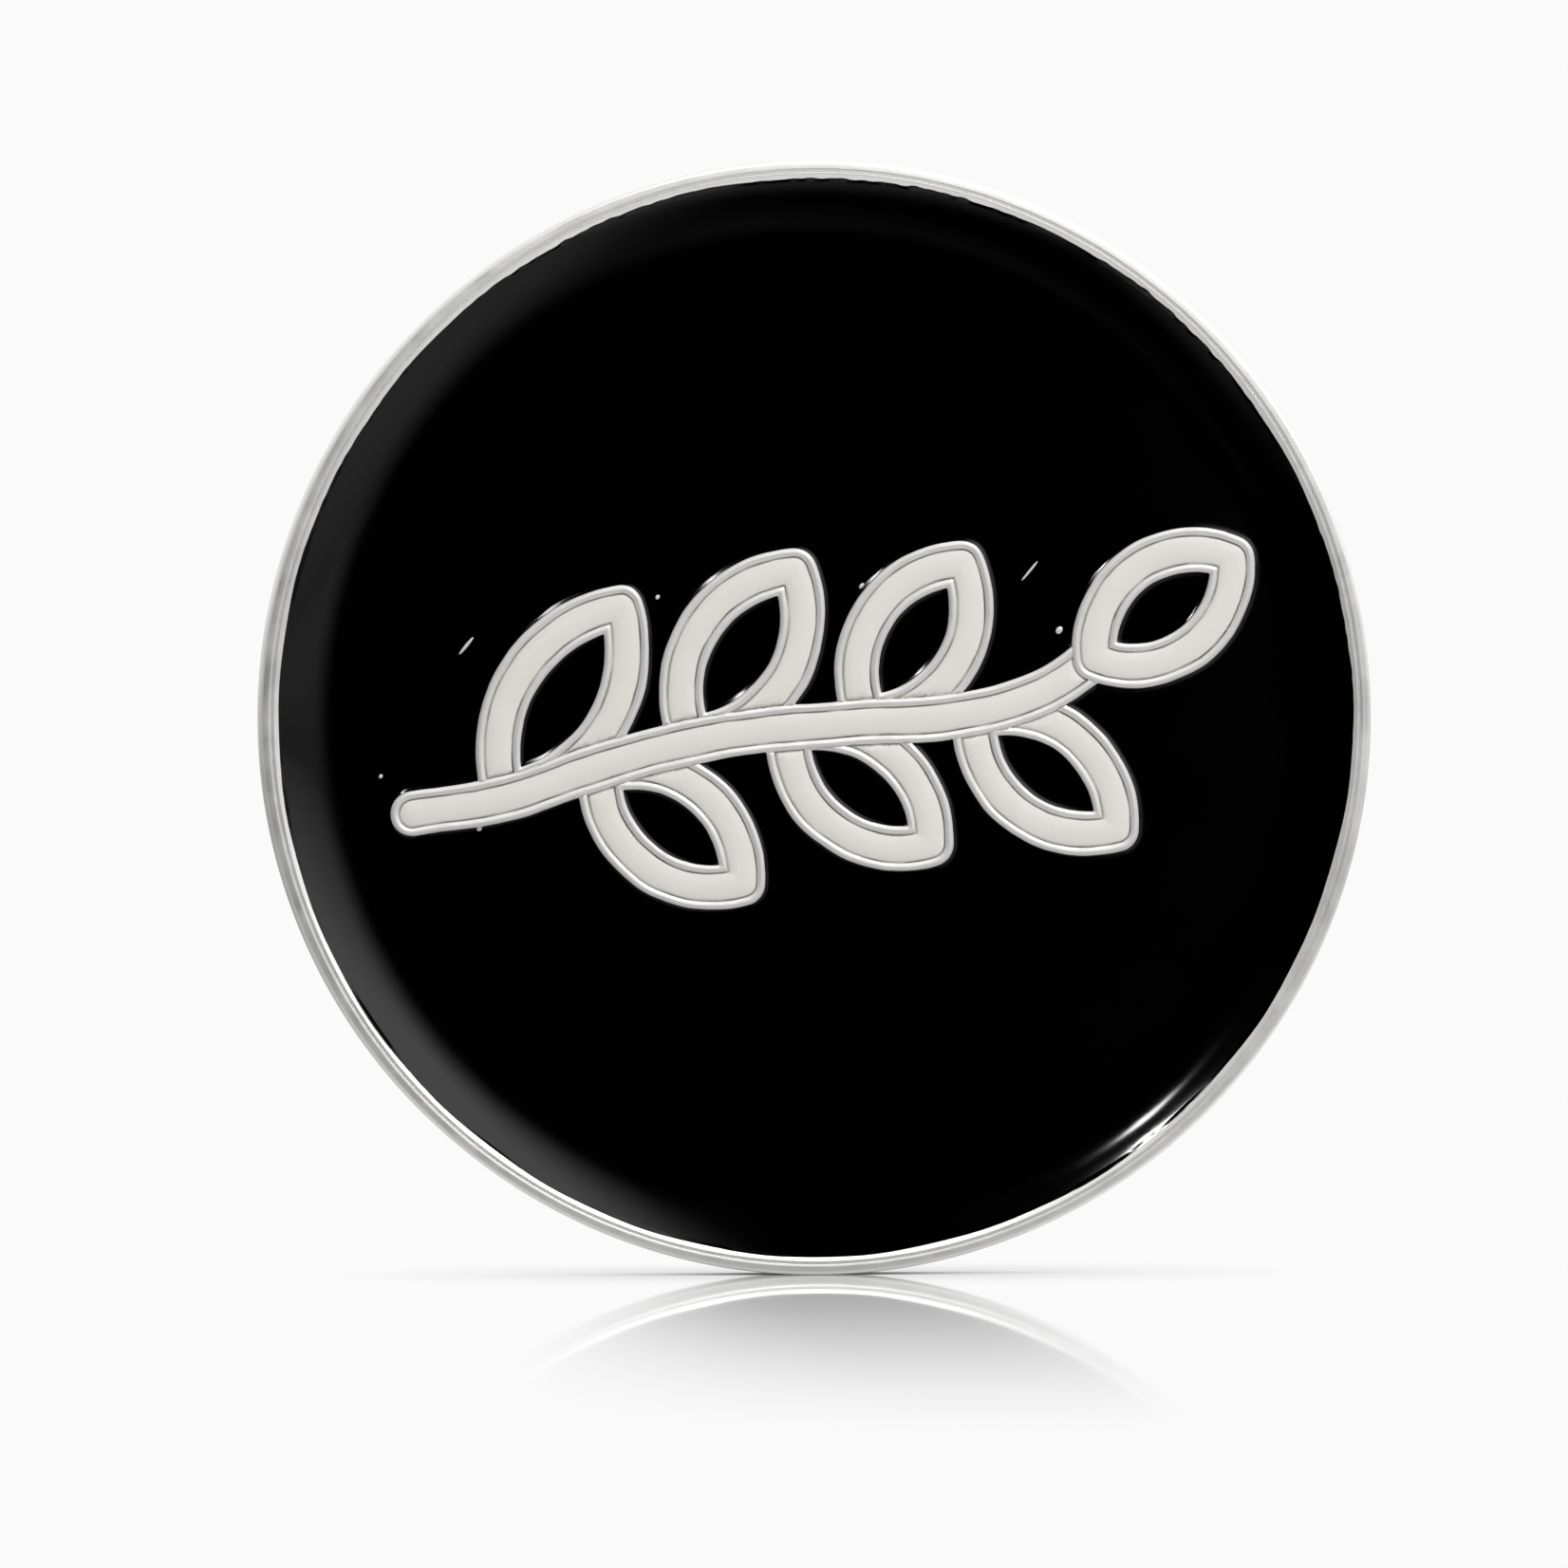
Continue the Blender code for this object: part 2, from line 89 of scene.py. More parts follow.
# Leaves: x of the root on the stem, side (1 above), angle in degrees, length and width.
LEAVES = [
    (-8.5, 1, 58, 5.9, 2.7),
    (-3.5, 1, 58, 5.3, 2.7),
    (1.5, 1, 58, 4.9, 2.6),
    (-5.8, -1, -38, 4.9, 2.5),
    (-0.8, -1, -38, 4.9, 2.5),
    (4.2, -1, -38, 4.9, 2.5),
]
TIP_LEAF = (36, 4.6, 2.6)
LEAF_ROOT_OFFSET = 0.12

# Stray flecks of metal in the enamel beside the strokes: x, y, half length and half width. The long
# ones lie along the diagonal.
DIAGONAL = np.array([0.64, 0.77])
FLECKS = [
    (-9.45, 1.95, 0.30, 0.045), (5.75, 3.95, 0.34, 0.035), (6.55, 2.35, 0.11, 0.085),
    (-4.30, 3.25, 0.07, 0.055), (1.20, 3.55, 0.09, 0.050), (-11.75, -1.55, 0.06, 0.050),
    (-9.10, -2.95, 0.08, 0.065),
]
FLECK_HEIGHT = 0.03
FLECK_SIDES = 16


# ---------------------------------------------------------------------------------------------
# Outlines
# ---------------------------------------------------------------------------------------------

def arc(centre, radius, start, end, spacing=0.09):
    """Points on an arc, both ends included, about spacing apart and never coarser than 20 degrees."""
    turn = min(spacing / max(radius, 1e-6), math.radians(20))
    count = max(2, math.ceil(abs(end - start) / turn))
    angles = np.linspace(start, end, count + 1)
    return np.c_[centre[0] + radius * np.cos(angles), centre[1] + radius * np.sin(angles)]


def smooth_line(route, steps):
    """A Catmull-Rom curve through the route's points, with steps pieces between each two."""
    route = np.array(route, float)
    knots = np.vstack([2 * route[0] - route[1], route, 2 * route[-1] - route[-2]])
    t = np.arange(steps)[:, None] / steps
    pieces = []
    for a, b, c, d in zip(knots, knots[1:], knots[2:], knots[3:]):
        bend = 2 * a - 5 * b + 4 * c - d
        twist = 3 * b - a - 3 * c + d
        pieces.append(0.5 * (2 * b + (c - a) * t + bend * t ** 2 + twist * t ** 3))
    return np.vstack([*pieces, route[-1:]])


def normals_of(line):
    along = np.gradient(line, axis=0)
    along /= np.linalg.norm(along, axis=1)[:, None]
    return np.c_[-along[:, 1], along[:, 0]]


def stroke_ring(line, offset):
    """The closed line at an even distance round an open one, with round ends."""
    across = normals_of(line)
    right = line - across * offset
    left = (line + across * offset)[::-1]
    start = math.atan2(across[0][1], across[0][0])
    end = math.atan2(across[-1][1], across[-1][0])
    nose = arc(line[-1], offset, end - math.pi, end)[1:-1]
    tail = arc(line[0], offset, start, start + math.pi)[1:-1]
    return np.vstack([right, nose, left, tail])


class Leaf:
    """A leaf's middle line: two equal arcs that meet at its root and its tip."""

    def __init__(self, root, angle, length, width):
        self.root = np.array(root)
        self.turn = np.array([[math.cos(angle), math.sin(angle)],
                              [-math.sin(angle), math.cos(angle)]])
        self.length = length
        self.half = length / 2
        bulge = width / 2
        self.radius = (self.half ** 2 + bulge ** 2) / (2 * bulge)
        self.depth = self.radius - bulge
        self.corner = math.atan2(self.depth, self.half)

    def ring(self, offset):
        """The closed line at an offset: outside it with round ends, inside it with sharp ones."""
        corner = self.corner
        if offset <= 0:
            corner = math.asin(self.depth / (self.radius + offset))
        far = math.pi - corner
        parts = [arc((self.half, self.depth), self.radius + offset, -far, -corner)[:-1]]
        if offset > 0:
            parts.append(arc((self.length, 0), offset, -corner, corner)[:-1])
        parts.append(arc((self.half, -self.depth), self.radius + offset, corner, far)[:-1])
        if offset > 0:
            parts.append(arc((0, 0), offset, far, far + 2 * corner)[:-1])
        return self.root + np.vstack(parts) @ self.turn

    def rings(self, distance):
        if distance == 0:
            return [self.ring(0)]
        loops = [self.ring(distance)]
        if self.radius - distance > self.depth + 0.02:
            loops.append(self.ring(-distance))
        return loops

    def distance(self, points):
        """Distance from the middle line, and whether each point is inside it."""
        x, y = ((points - self.root) @ self.turn.T).T
        y = np.abs(y)
        reach = np.hypot(x - self.half, y + self.depth)
        angle = np.arctan2(y + self.depth, x - self.half)
        facing = (angle >= self.corner) & (angle <= math.pi - self.corner)
        ends = np.minimum(np.hypot(x, y), np.hypot(x - self.length, y))
        return np.where(facing, np.abs(reach - self.radius), ends), facing & (reach < self.radius)


class Stem:
    """The stem's middle line, an open curve."""

    def __init__(self, line):
        self.line = line

    def rings(self, distance):
        if distance == 0:
            return [self.line]
        return [stroke_ring(self.line, distance)]

    def distance(self, points):
        best = np.full(len(points), 1e9)
        for a, b in zip(self.line, self.line[1:]):
            along = b - a
            t = np.clip((points - a) @ along / (along @ along), 0, 1)
            best = np.minimum(best, np.linalg.norm(points - a - t[:, None] * along, axis=1))
        return best, np.zeros(len(points), bool)


def sprig():
    """The strokes from the bottom layer up: six leaves, the stem over them, the tip leaf on top."""
    coarse = smooth_line(STEM_ROUTE, STEM_STEPS)
    line = smooth_line(STEM_ROUTE, 5 * STEM_STEPS)
    across = normals_of(coarse)
    strokes = []
    for along, side, angle, length, width in LEAVES:
        i = np.argmin(np.abs(coarse[:, 0] - along))
        root = coarse[i] + side * LEAF_ROOT_OFFSET * across[i]
        strokes.append(Leaf(root, math.radians(angle), length, width))
    strokes.append(Stem(line))
    angle, length, width = TIP_LEAF
    strokes.append(Leaf(line[-1], math.radians(angle), length, width))
    return strokes


STROKES = sprig()
STEM = 6
LEAF_NUMBERS = [k for k in range(len(STROKES)) if k != STEM]
LAYER = [0, 0, 0, 0, 0, 0, 1, 2]

# Codes of the areas of the front. A stroke's number is added to CREAM and to ISLAND.
METAL = 0
CREAM = 10
ISLAND = 20
OPEN_BLACK = 30
NOT_YET = -100

# ---------------------------------------------------------------------------------------------
# The front of the badge as one flat net of triangles, then raised area by area
# ---------------------------------------------------------------------------------------------

# How far from a stroke's middle line, or inwards from the rim, the lines of the net run.
CREAM_RINGS = (0.0, 0.1, 0.2, 0.27, 0.31, 0.335, 0.35, 0.362, 0.376)
METAL_RINGS = (0.40, 0.42, 0.455, LINE_MIDDLE, 0.535, 0.57, 0.59)
BLACK_RINGS = (0.62, 0.65, 0.69, 0.74, 0.82, 0.95, 1.20)
RIM_RINGS = (-0.04, -0.01, 0.015, 0.035, 0.055, 0.08, 0.12, 0.18, 0.28, 0.40, 0.54, 0.70, 0.90,
             1.15, 1.45, 1.8, 2.3, 3.0)
RIM_STEPS = 720
FINE_INSET = 0.15
NET_SPACING = 0.32
EDGE_PARTS = 4
WOBBLE = 0.024


def distances(points):
    """For each stroke, the distance of each point from its middle line and whether it is inside."""
    return [stroke.distance(points) for stroke in STROKES]


def hidden(found, k, margin=0.0):
    """Which points lie under a stroke of a higher layer than stroke k."""
    covered = np.zeros(len(found[0][0]), bool)
    for j, (distance, _) in enumerate(found):
        if LAYER[j] > LAYER[k]:
            covered |= distance < STROKE - margin
    return covered


class Net:
    """Points and the lines between them that the triangles have to follow."""

    def __init__(self):
        self.points = []
        self.lines = []
        self.count = 0

    def add(self, points, keep, closed=True):
        """Adds the kept points, and a line between neighbours that are both kept."""
        number = np.full(len(points), -1)
        number[keep] = self.count + np.arange(keep.sum())
        self.points.append(points[keep])
        self.count += int(keep.sum())
        after = np.roll(number, -1)
        if not closed:
            after[-1] = -1
        both = (number >= 0) & (after >= 0)
        self.lines += list(zip(number[both].tolist(), after[both].tolist()))


def add_edges_of_strokes(net):
    """The edges between metal and enamel. One that runs under another stroke stops just inside it."""
    for k, stroke in enumerate(STROKES):
        for edge in (CHANNEL, STROKE):
            for ring in stroke.rings(edge):
                ring = np.repeat(ring, EDGE_PARTS, axis=0)
                part = np.arange(len(ring)) % EDGE_PARTS
                ahead = np.roll(ring, -EDGE_PARTS, axis=0)
                ring = ring + (ahead - ring) * part[:, None] / EDGE_PARTS
                under = hidden(distances(ring), k)
                beside = ~under | ~np.roll(under, 1) | ~np.roll(under, -1)
                crossing = under | np.roll(under, 1) | np.roll(under, -1)
                net.add(ring, beside & ((part == 0) | crossing))


def add_rings(net):
    """Lines along the strokes, close together near the metal's edges, where the surface bends."""
    for k, stroke in enumerate(STROKES):
        for distance in CREAM_RINGS + METAL_RINGS:
            for ring in stroke.rings(distance):
                keep = ~hidden(distances(ring), k, -0.012)
                closed = not (k == STEM and distance == 0)
                net.add(ring, keep, closed)
        for distance in BLACK_RINGS:
            for ring in stroke.rings(distance):
                nearest = np.min([d for d, _ in distances(ring)], axis=0)
                net.add(ring, nearest > distance - 1e-6)


def add_open_field(net):
    """Rings inside the rim, and a plain net of points over the rest of the black."""
    turn = np.arange(RIM_STEPS) * 2 * math.pi / RIM_STEPS
    for inset in RIM_RINGS:
        radius = FIELD_RADIUS - inset
        step = 1 if inset < FINE_INSET else 2
        ring = radius * np.c_[np.cos(turn), np.sin(turn)][::step]
        net.add(ring, np.ones(len(ring), bool))
    side = np.arange(-DISC_RADIUS, DISC_RADIUS, NET_SPACING)
    grid = np.array([(x + (j % 2) * NET_SPACING / 2, y) for j, y in enumerate(side) for x in side])
    nearest = np.min([d for d, _ in distances(grid)], axis=0)
    inner = FIELD_RADIUS - RIM_RINGS[-1] - NET_SPACING / 2
    keep = (nearest > BLACK_RINGS[-1] + NET_SPACING / 3) & (np.hypot(*grid.T) < inner)
    net.points.append(grid[keep])
    net.count += int(keep.sum())


def wobble(points):
    """Moves points a little sideways, as the struck lines aren't quite even, but none at the rim."""
    fade = np.clip((FIELD_RADIUS - 0.6 - np.hypot(*points.T)) / 1.0, 0, 1) * WOBBLE
    shift = np.c_[waviness(points, 1.1, 0.3) + 0.3 * waviness(points, 0.5, 1.1),
                  waviness(points, 1.2, 1.9) + 0.3 * waviness(points, 0.5, 2.6)]
    return points + fade[:, None] * shift


def front_net():
    """Corner points and triangles of the whole front inside the rim."""
    net = Net()
    add_edges_of_strokes(net)
    add_rings(net)
    add_open_field(net)
    corners = [Vector(p) for p in np.vstack(net.points)]
    made = delaunay_2d_cdt(corners, net.lines, [], 0, 1e-5, False)
    points = np.array([tuple(v) for v in made[0]])
    return points, np.array(made[2])


def area_of(points):
    """The code of the area that each point is in."""
    found = distances(points)
    top = np.full(len(points), -1)
    for k in sorted(range(len(STROKES)), key=lambda j: LAYER[j]):
        top[found[k][0] <= STROKE] = k
    codes = np.full(len(points), NOT_YET)
    for k, (distance, inside) in enumerate(found):
        on = top == k
        codes[on] = np.where(distance[on] > CHANNEL, METAL, CREAM + k)
        codes[(top < 0) & inside] = ISLAND + k
    codes[codes == NOT_YET] = OPEN_BLACK
    return codes


def waviness(points, size, seed):
    """A gentle unevenness, from a few sine waves in fixed directions."""
    total = np.zeros(len(points))
    for i in range(5):
        angle = seed + 2.4 * i
        wave = 2 * math.pi / (size * (1 + 0.35 * i))
        total += np.sin(points @ np.array([math.cos(angle), math.sin(angle)]) * wave + 1.7 * i)
    return total / 5


def metal_height(points):
    """Line tops, rounded across and a little uneven along. Beyond the lines there is no height."""
    found = distances(points)
    offset = np.full(len(points), np.nan)
    for k in sorted(range(len(STROKES)), key=lambda j: LAYER[j]):
        distance = found[k][0]
        on = distance <= STROKE + 1e-3
        offset[on] = distance[on]
    across = np.clip(np.abs(offset - LINE_MIDDLE) / LINE_HALF, 0, 1)
    return TOP - 0.060 * across ** 1.8 - 0.005 + 0.005 * waviness(points, 1.3, 0.4)


def cream_height(points, k):
    """Nearly level with the lines, its shoulders rounded, with a narrow dip against the metal."""
    found = distances(points)
    gap = CHANNEL - found[k][0]
    for j, (distance, _) in enumerate(found):
        if LAYER[j] > LAYER[k]:
            gap = np.minimum(gap, distance - STROKE)
    gap = np.clip(gap, 0, None)
    varied = 1 + 0.8 * waviness(points, 0.7, 0.9)
    dip = np.clip(1 - gap / 0.055, 0, 1)
    shoulder = np.clip(1 - gap / 0.34, 0, 1) ** 2.2
    wave = 0.007 * waviness(points, 1.1, 2.0)
    return CREAM_LEVEL + 0.070 - 0.062 * shoulder - 0.12 * varied * dip + wave


def rim_unevenness(points):
    """How high the enamel stands against the rim: slow waves, and small nicks mostly at the top."""
    angle = np.arctan2(points[:, 1], points[:, 0])
    slow = np.sin(7 * angle + 1.0) + np.sin(13 * angle + 2.6) + np.sin(29 * angle)
    fast = np.sin(83 * angle + 0.4) + np.sin(131 * angle + 1.9) + np.sin(197 * angle + 4.0)
    share = 0.1 + 0.9 * np.clip(np.sin(angle + 0.2), 0, 1)
    return 0.003 * slow + 0.0036 * share * fast * np.abs(np.sin(5 * angle + 0.7))


def black_height(points):
    """Level, and rising in a hollow curve to the rim and to the strokes."""
    gap = np.min([d for d, _ in distances(points)], axis=0) - STROKE
    near_line = np.clip(1 - gap / LINE_MENISCUS, 0, 1)
    inset = FIELD_RADIUS - np.hypot(*points.T)
    near_rim = np.clip(1 - inset / RIM_MENISCUS, 0, 1.1)
    rise = LINE_RISE * near_line ** 2.5 + RIM_RISE * near_rim ** 2
    uneven = rim_unevenness(points) * np.clip(1 - (inset - 0.02) / 0.09, 0, 1)
    return BLACK_BOTTOM + rise + uneven + 0.0022 * waviness(points, 4.0, 1.0)


# ---------------------------------------------------------------------------------------------
# Meshes
# ---------------------------------------------------------------------------------------------

def new_piece(name, points, faces, materials, body, replaced, indices=None):
    """A piece from world points in mm, riding on a body and standing for CAD nodes."""
    mesh = bpy.data.meshes.new(name)
    mesh.from_pydata((np.array(points) * MM).tolist(), [], [list(map(int, f)) for f in faces])
    for material in materials:
        mesh.materials.append(material)
    if indices is not None:
        mesh.polygons.foreach_set("material_index", np.array(indices, np.int32))
    mesh.validate()
    mesh.shade_smooth()
    mesh.set_sharp_from_angle(angle=SHARP)
    piece = bpy.data.objects.new(name, mesh)
    bpy.context.scene.collection.objects.link(piece)
    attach(piece, body)
    if replaced:
        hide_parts(*replaced)
    return piece


def badge_to_world(points):
    x, y, h = np.array(points).T
    return np.c_[x, -h, y]


NORMAL_STEP = 0.004


def solid_under(points, triangles, heights, bottom):
    """A closed solid: the triangles at their heights, a flat copy at the bottom, and the walls.
    Also returns the surface's own normals at the raised corners."""
    used, corners = np.unique(triangles, return_inverse=True)
    top = corners.reshape(-1, 3)
    count = len(used)
    flat = points[used]
    raised = np.c_[flat, heights(flat)]
    floor = np.c_[flat, np.full(count, bottom)]
    directed = np.vstack([top[:, [0, 1]], top[:, [1, 2]], top[:, [2, 0]]])
    known = set(map(tuple, directed.tolist()))
    walls = [(b, a, a + count, b + count) for a, b in known if (b, a) not in known]
    faces = top.tolist() + (top[:, ::-1] + count).tolist() + walls
    east = heights(flat + (NORMAL_STEP, 0)) - heights(flat - (NORMAL_STEP, 0))
    north = heights(flat + (0, NORMAL_STEP)) - heights(flat - (0, NORMAL_STEP))
    normals = np.c_[-east, -north, np.full(count, 2 * NORMAL_STEP)]
    normals /= np.linalg.norm(normals, axis=1)[:, None]
    solid = np.vstack([raised, floor])
    solid[:, :2] = wobble(solid[:, :2])
    return solid, faces, normals


def use_normals(piece, faces, top_faces, normals):
    """Gives the first faces the exact normals of their surface, and leaves the others flat. A corner
    on a line's outer edge has no exact normal, and zero asks for the mesh's own one."""
    mesh = piece.data
    flat = np.zeros(len(mesh.polygons) * 3)
    mesh.polygons.foreach_get("normal", flat)
    given = np.repeat(flat.reshape(-1, 3), [len(face) for face in faces], axis=0)
    corners = np.array(faces[:top_faces]).ravel()
    given[:len(corners)] = badge_to_world(normals[corners])
    given[np.isnan(given).any(axis=1)] = 0
    mesh.normals_split_custom_set(given.tolist())


def make_front(looks):
    """The raised lines and every enamel fill."""
    points, triangles = front_net()
    a, b, c = (points[triangles[:, i]] for i in range(3))
    turned = np.cross(b - a, c - a) < 0
    triangles[turned] = triangles[turned][:, ::-1]
    areas = area_of((a + b + c) / 3)

    def make(name, code, heights, bottom, material, replaced):
        chosen = triangles[areas == code]
        solid, faces, normals = solid_under(points, chosen, heights, bottom)
        piece = new_piece(name, badge_to_world(solid), faces, [material], "badge", replaced)
        use_normals(piece, faces, len(chosen), normals)

    make("raised_lines", METAL, metal_height, RECESS_FLOOR - 0.05, looks["lines"],
         [])
    make("black_enamel_field", OPEN_BLACK, black_height, ENAMEL_BOTTOM, looks["black"],
         ["black_field"])
    order = sorted(LEAF_NUMBERS,
                   key=lambda k: points[triangles[areas == ISLAND + k]][:, :, 0].min())
    for number, k in enumerate(order, start=1):
        make(f"black_enamel_leaf_{number}", ISLAND + k, black_height, ENAMEL_BOTTOM,
             looks["black"], [f"black_leaf_fill_{number}"])
    for number, k in enumerate(LEAF_NUMBERS, start=1):
        make(f"cream_enamel_leaf_{number}", CREAM + k, lambda p, k=k: cream_height(p, k),
             ENAMEL_BOTTOM, looks["cream"], [f"cream_leaf_{number}"])
    make("cream_enamel_stem", CREAM + STEM, lambda p: cream_height(p, STEM), ENAMEL_BOTTOM,
         looks["cream"], ["cream_stem"])


def make_flecks(looks):
    """Every fleck as a low lens half sunk in the enamel."""
    sides = FLECK_SIDES
    turn = np.arange(sides) * 2 * math.pi / sides
    tilts = np.radians((-60, -30, 0, 30, 60))
    points = []
    faces = []
    for x, y, length, width in FLECKS:
        first = len(points)
        level = black_height(np.array([[x, y]]))[0]
        for tilt in tilts:
            oval = math.cos(tilt) * np.c_[length * np.cos(turn), width * np.sin(turn)]
            flat = np.c_[oval @ (DIAGONAL[0], -DIAGONAL[1]), oval @ (DIAGONAL[1], DIAGONAL[0])]
            height = np.full(sides, level + FLECK_HEIGHT * math.sin(tilt))
            points += np.c_[flat + (x, y), height].tolist()
        points += [[x, y, level - FLECK_HEIGHT], [x, y, level + FLECK_HEIGHT]]
        last = first + (len(tilts) - 1) * sides
        lowest = last + sides
        for s in range(sides):
            t = (s + 1) % sides
            for row in range(first, last, sides):
                faces.append((row + s, row + t, row + t + sides, row + s + sides))
            faces.append((first + t, first + s, lowest))
            faces.append((last + s, last + t, lowest + 1))
    new_piece("metal_flecks", badge_to_world(points), faces, [looks["lines"]], "badge", [])


def rounded(profile, closed):
    """A profile of (radius, height, rounding) corners with each corner rounded."""
    corners = [np.array(p[:2], float) for p in profile]
    result = []
    count = len(profile)
    for i, here in enumerate(corners):
        rounding = profile[i][2] if len(profile[i]) > 2 else 0
        if rounding == 0 or (not closed and i in (0, count - 1)):
            result.append(here)
            continue
        back = corners[i - 1] - here
        on = corners[(i + 1) % count] - here
        length = min(np.linalg.norm(back), np.linalg.norm(on))
        back, on = back / np.linalg.norm(back), on / np.linalg.norm(on)
        angle = math.acos(np.clip(back @ on, -1, 1))
        run = min(rounding / math.tan(angle / 2), 0.48 * length)
        start, end = here + back * run, here + on * run
        for t in np.linspace(0, 1, 6):
            result.append((1 - t) ** 2 * start + 2 * t * (1 - t) * here + t ** 2 * end)
    return np.array(result)


def quads_between(count, steps, closed):
    """Quads from each ring of points to the next, and from the last to the first if closed."""
    faces = []
    for i in range(count if closed else count - 1):
        j = (i + 1) % count
        for s in range(steps):
            t = (s + 1) % steps
            faces.append((i * steps + s, j * steps + s, j * steps + t, i * steps + t))
    return faces


def revolve(profile, steps, closed):
    """Points (x, y, height) and quads turned from a profile that runs down its outer side."""
    turn = np.arange(steps) * 2 * math.pi / steps
    rings = [np.c_[r * np.cos(turn), r * np.sin(turn), np.full(steps, h)] for r, h in profile]
    return np.vstack(rings), quads_between(len(rings), steps, closed)


def capped(profile, steps):
    """As revolve, for a solid piece whose profile starts and ends on the axis."""
    points, faces = revolve(profile[1:-1], steps, closed=False)
    first = len(points)
    points = np.vstack([points, [0, 0, profile[0][1]], [0, 0, profile[-1][1]]])
    end = first - steps
    for s in range(steps):
        t = (s + 1) % steps
        faces.append((first, s, t))
        faces.append((first + 1, end + t, end + s))
    return points, faces


def body_profile():
    """The struck disc: recess, rim with a fine line round its top, and the back's ring and pad."""
    wall = FIELD_RADIUS
    outer = DISC_RADIUS
    return rounded([
        (0.0, RECESS_FLOOR),
        (wall - 0.18, RECESS_FLOOR), (wall - 0.18, TOP - 0.14, 0.02), (wall + 0.10, TOP - 0.008, 0.05),
        (wall + 0.15, TOP - 0.012, 0.01), (wall + 0.17, TOP - 0.055, 0.012),
        (wall + 0.19, TOP - 0.012, 0.02), (wall + 0.25, TOP, 0.05),
        (outer, TOP - 0.03, 0.24), (outer, 0.12, 0.10), (outer - 0.12, 0.0, 0.06),
        (outer - 0.65, 0.0, 0.05), (outer - 0.75, 0.10, 0.05), (4.2, 0.10, 0.05),
        (4.1, 0.0, 0.05), (0.0, 0.0),
    ], closed=False)


def make_badge_body(looks):
    """The struck disc, polished all over but for the sandblasted field of its back."""
    points, faces = capped(body_profile(), 288)
    middles = np.array([points[list(f)].mean(axis=0) for f in faces])
    reach = np.hypot(middles[:, 0], middles[:, 1])
    field = (middles[:, 2] < 0.11) & (reach > 4.15) & (reach < DISC_RADIUS - 0.7)
    new_piece("badge_body", badge_to_world(points), faces, [looks["rim"], looks["blasted"]],
              "badge", ["struck_base"], field.astype(int))


# ---------------------------------------------------------------------------------------------
# The back: posts, solder and clutches, worked out with w away from the badge along the post
# ---------------------------------------------------------------------------------------------

def post_to_world(points, x, lift):
    u, v, w = np.array(points).T
    return np.c_[x + u, lift + w, -v]


def post_profile():
    """From the point down to the head; heights are measured from the back face."""
    return rounded([
        (0.0, 8.96), (0.10, 8.93, 0.05), (0.53, 7.9, 0.3), (0.53, 6.25, 0.05),
        (0.42, 6.12, 0.04), (0.42, 5.78, 0.04), (0.53, 5.65, 0.05), (0.53, 0.42, 0.10),
        (0.68, 0.25, 0.08), (2.34, 0.25, 0.05), (2.4, 0.19, 0.04), (2.4, -0.09, 0.02), (0.0, -0.09),
    ], closed=False)


def solder_ring(steps=96):
    """A hollow, slightly uneven fillet round the post's head."""
    inner, low = 2.42, -0.09
    turn = np.arange(steps) * 2 * math.pi / steps
    spread = 0.46 + 0.05 * np.sin(3 * turn + 0.5) + 0.03 * np.sin(7 * turn + 2.1)
    height = 0.215 + 0.025 * np.sin(2 * turn + 1.2) + 0.015 * np.sin(5 * turn)
    rings = []
    for t in np.linspace(0, 1, 8):
        r = inner + spread * t
        h = low + height * (1 - t) ** 1.8 + 0.02 * math.sin(math.pi * t)
        rings.append(np.c_[r * np.cos(turn), r * np.sin(turn), h])
    rings.append(np.c_[inner * np.cos(turn), inner * np.sin(turn), np.full(steps, low)])
    return np.vstack(rings), quads_between(len(rings), steps, closed=True)


NIPPLE = 0.80


def cap_profile():
    """The dished cap in section, from the top of its rolled rim round the outside and back."""
    return rounded([
        (5.30, 1.02, 0.16), (5.65, 0.95, 0.22), (5.65, 0.05, 0.30), (5.25, 0.0, 0.10),
        (4.72, 0.0, 0.04), (4.66, 0.05, 0.04), (4.52, 0.05, 0.04), (4.46, 0.0, 0.04),
        (1.80, 0.0, 0.20), (1.05, -NIPPLE, 0.14), (0.65, -NIPPLE, 0.05), (0.65, -0.45, 0.05),
        (0.86, -0.45, 0.10), (1.56, 0.35, 0.15), (5.16, 0.35, 0.06), (5.29, 0.46, 0.06),
        (5.29, 0.66, 0.05), (4.96, 0.70, 0.05), (4.84, 0.84, 0.07), (4.98, 1.00, 0.08),
    ], closed=True)


def web_profile():
    return rounded([
        (0.0, 1.40), (3.75, 1.40, 0.20), (4.45, 0.66, 0.18), (5.15, 0.66, 0.05),
        (5.15, 0.36, 0.05), (4.30, 0.36, 0.10), (3.60, 1.10, 0.10), (0.0, 1.10),
    ], closed=False)


def rounded_box(half_x, half_y, corner):
    """An anticlockwise rectangle with round corners."""
    parts = []
    for sx, sy, start in ((1, 1, 0), (-1, 1, 1), (-1, -1, 2), (1, -1, 3)):
        centre = (sx * (half_x - corner), sy * (half_y - corner))
        parts.append(arc(centre, corner, start * math.pi / 2, (start + 1) * math.pi / 2))
    return np.vstack(parts)


def add_modifier(piece, kind, **settings):
    modifier = piece.modifiers.new(kind.lower(), kind)
    for name, value in settings.items():
        setattr(modifier, name, value)
    return modifier


def bake_modifiers(piece):
    ready = piece.evaluated_get(bpy.context.evaluated_depsgraph_get())
    mesh = bpy.data.meshes.new_from_object(ready)
    piece.modifiers.clear()
    piece.data = mesh
    mesh.shade_smooth()
    mesh.set_sharp_from_angle(angle=SHARP)


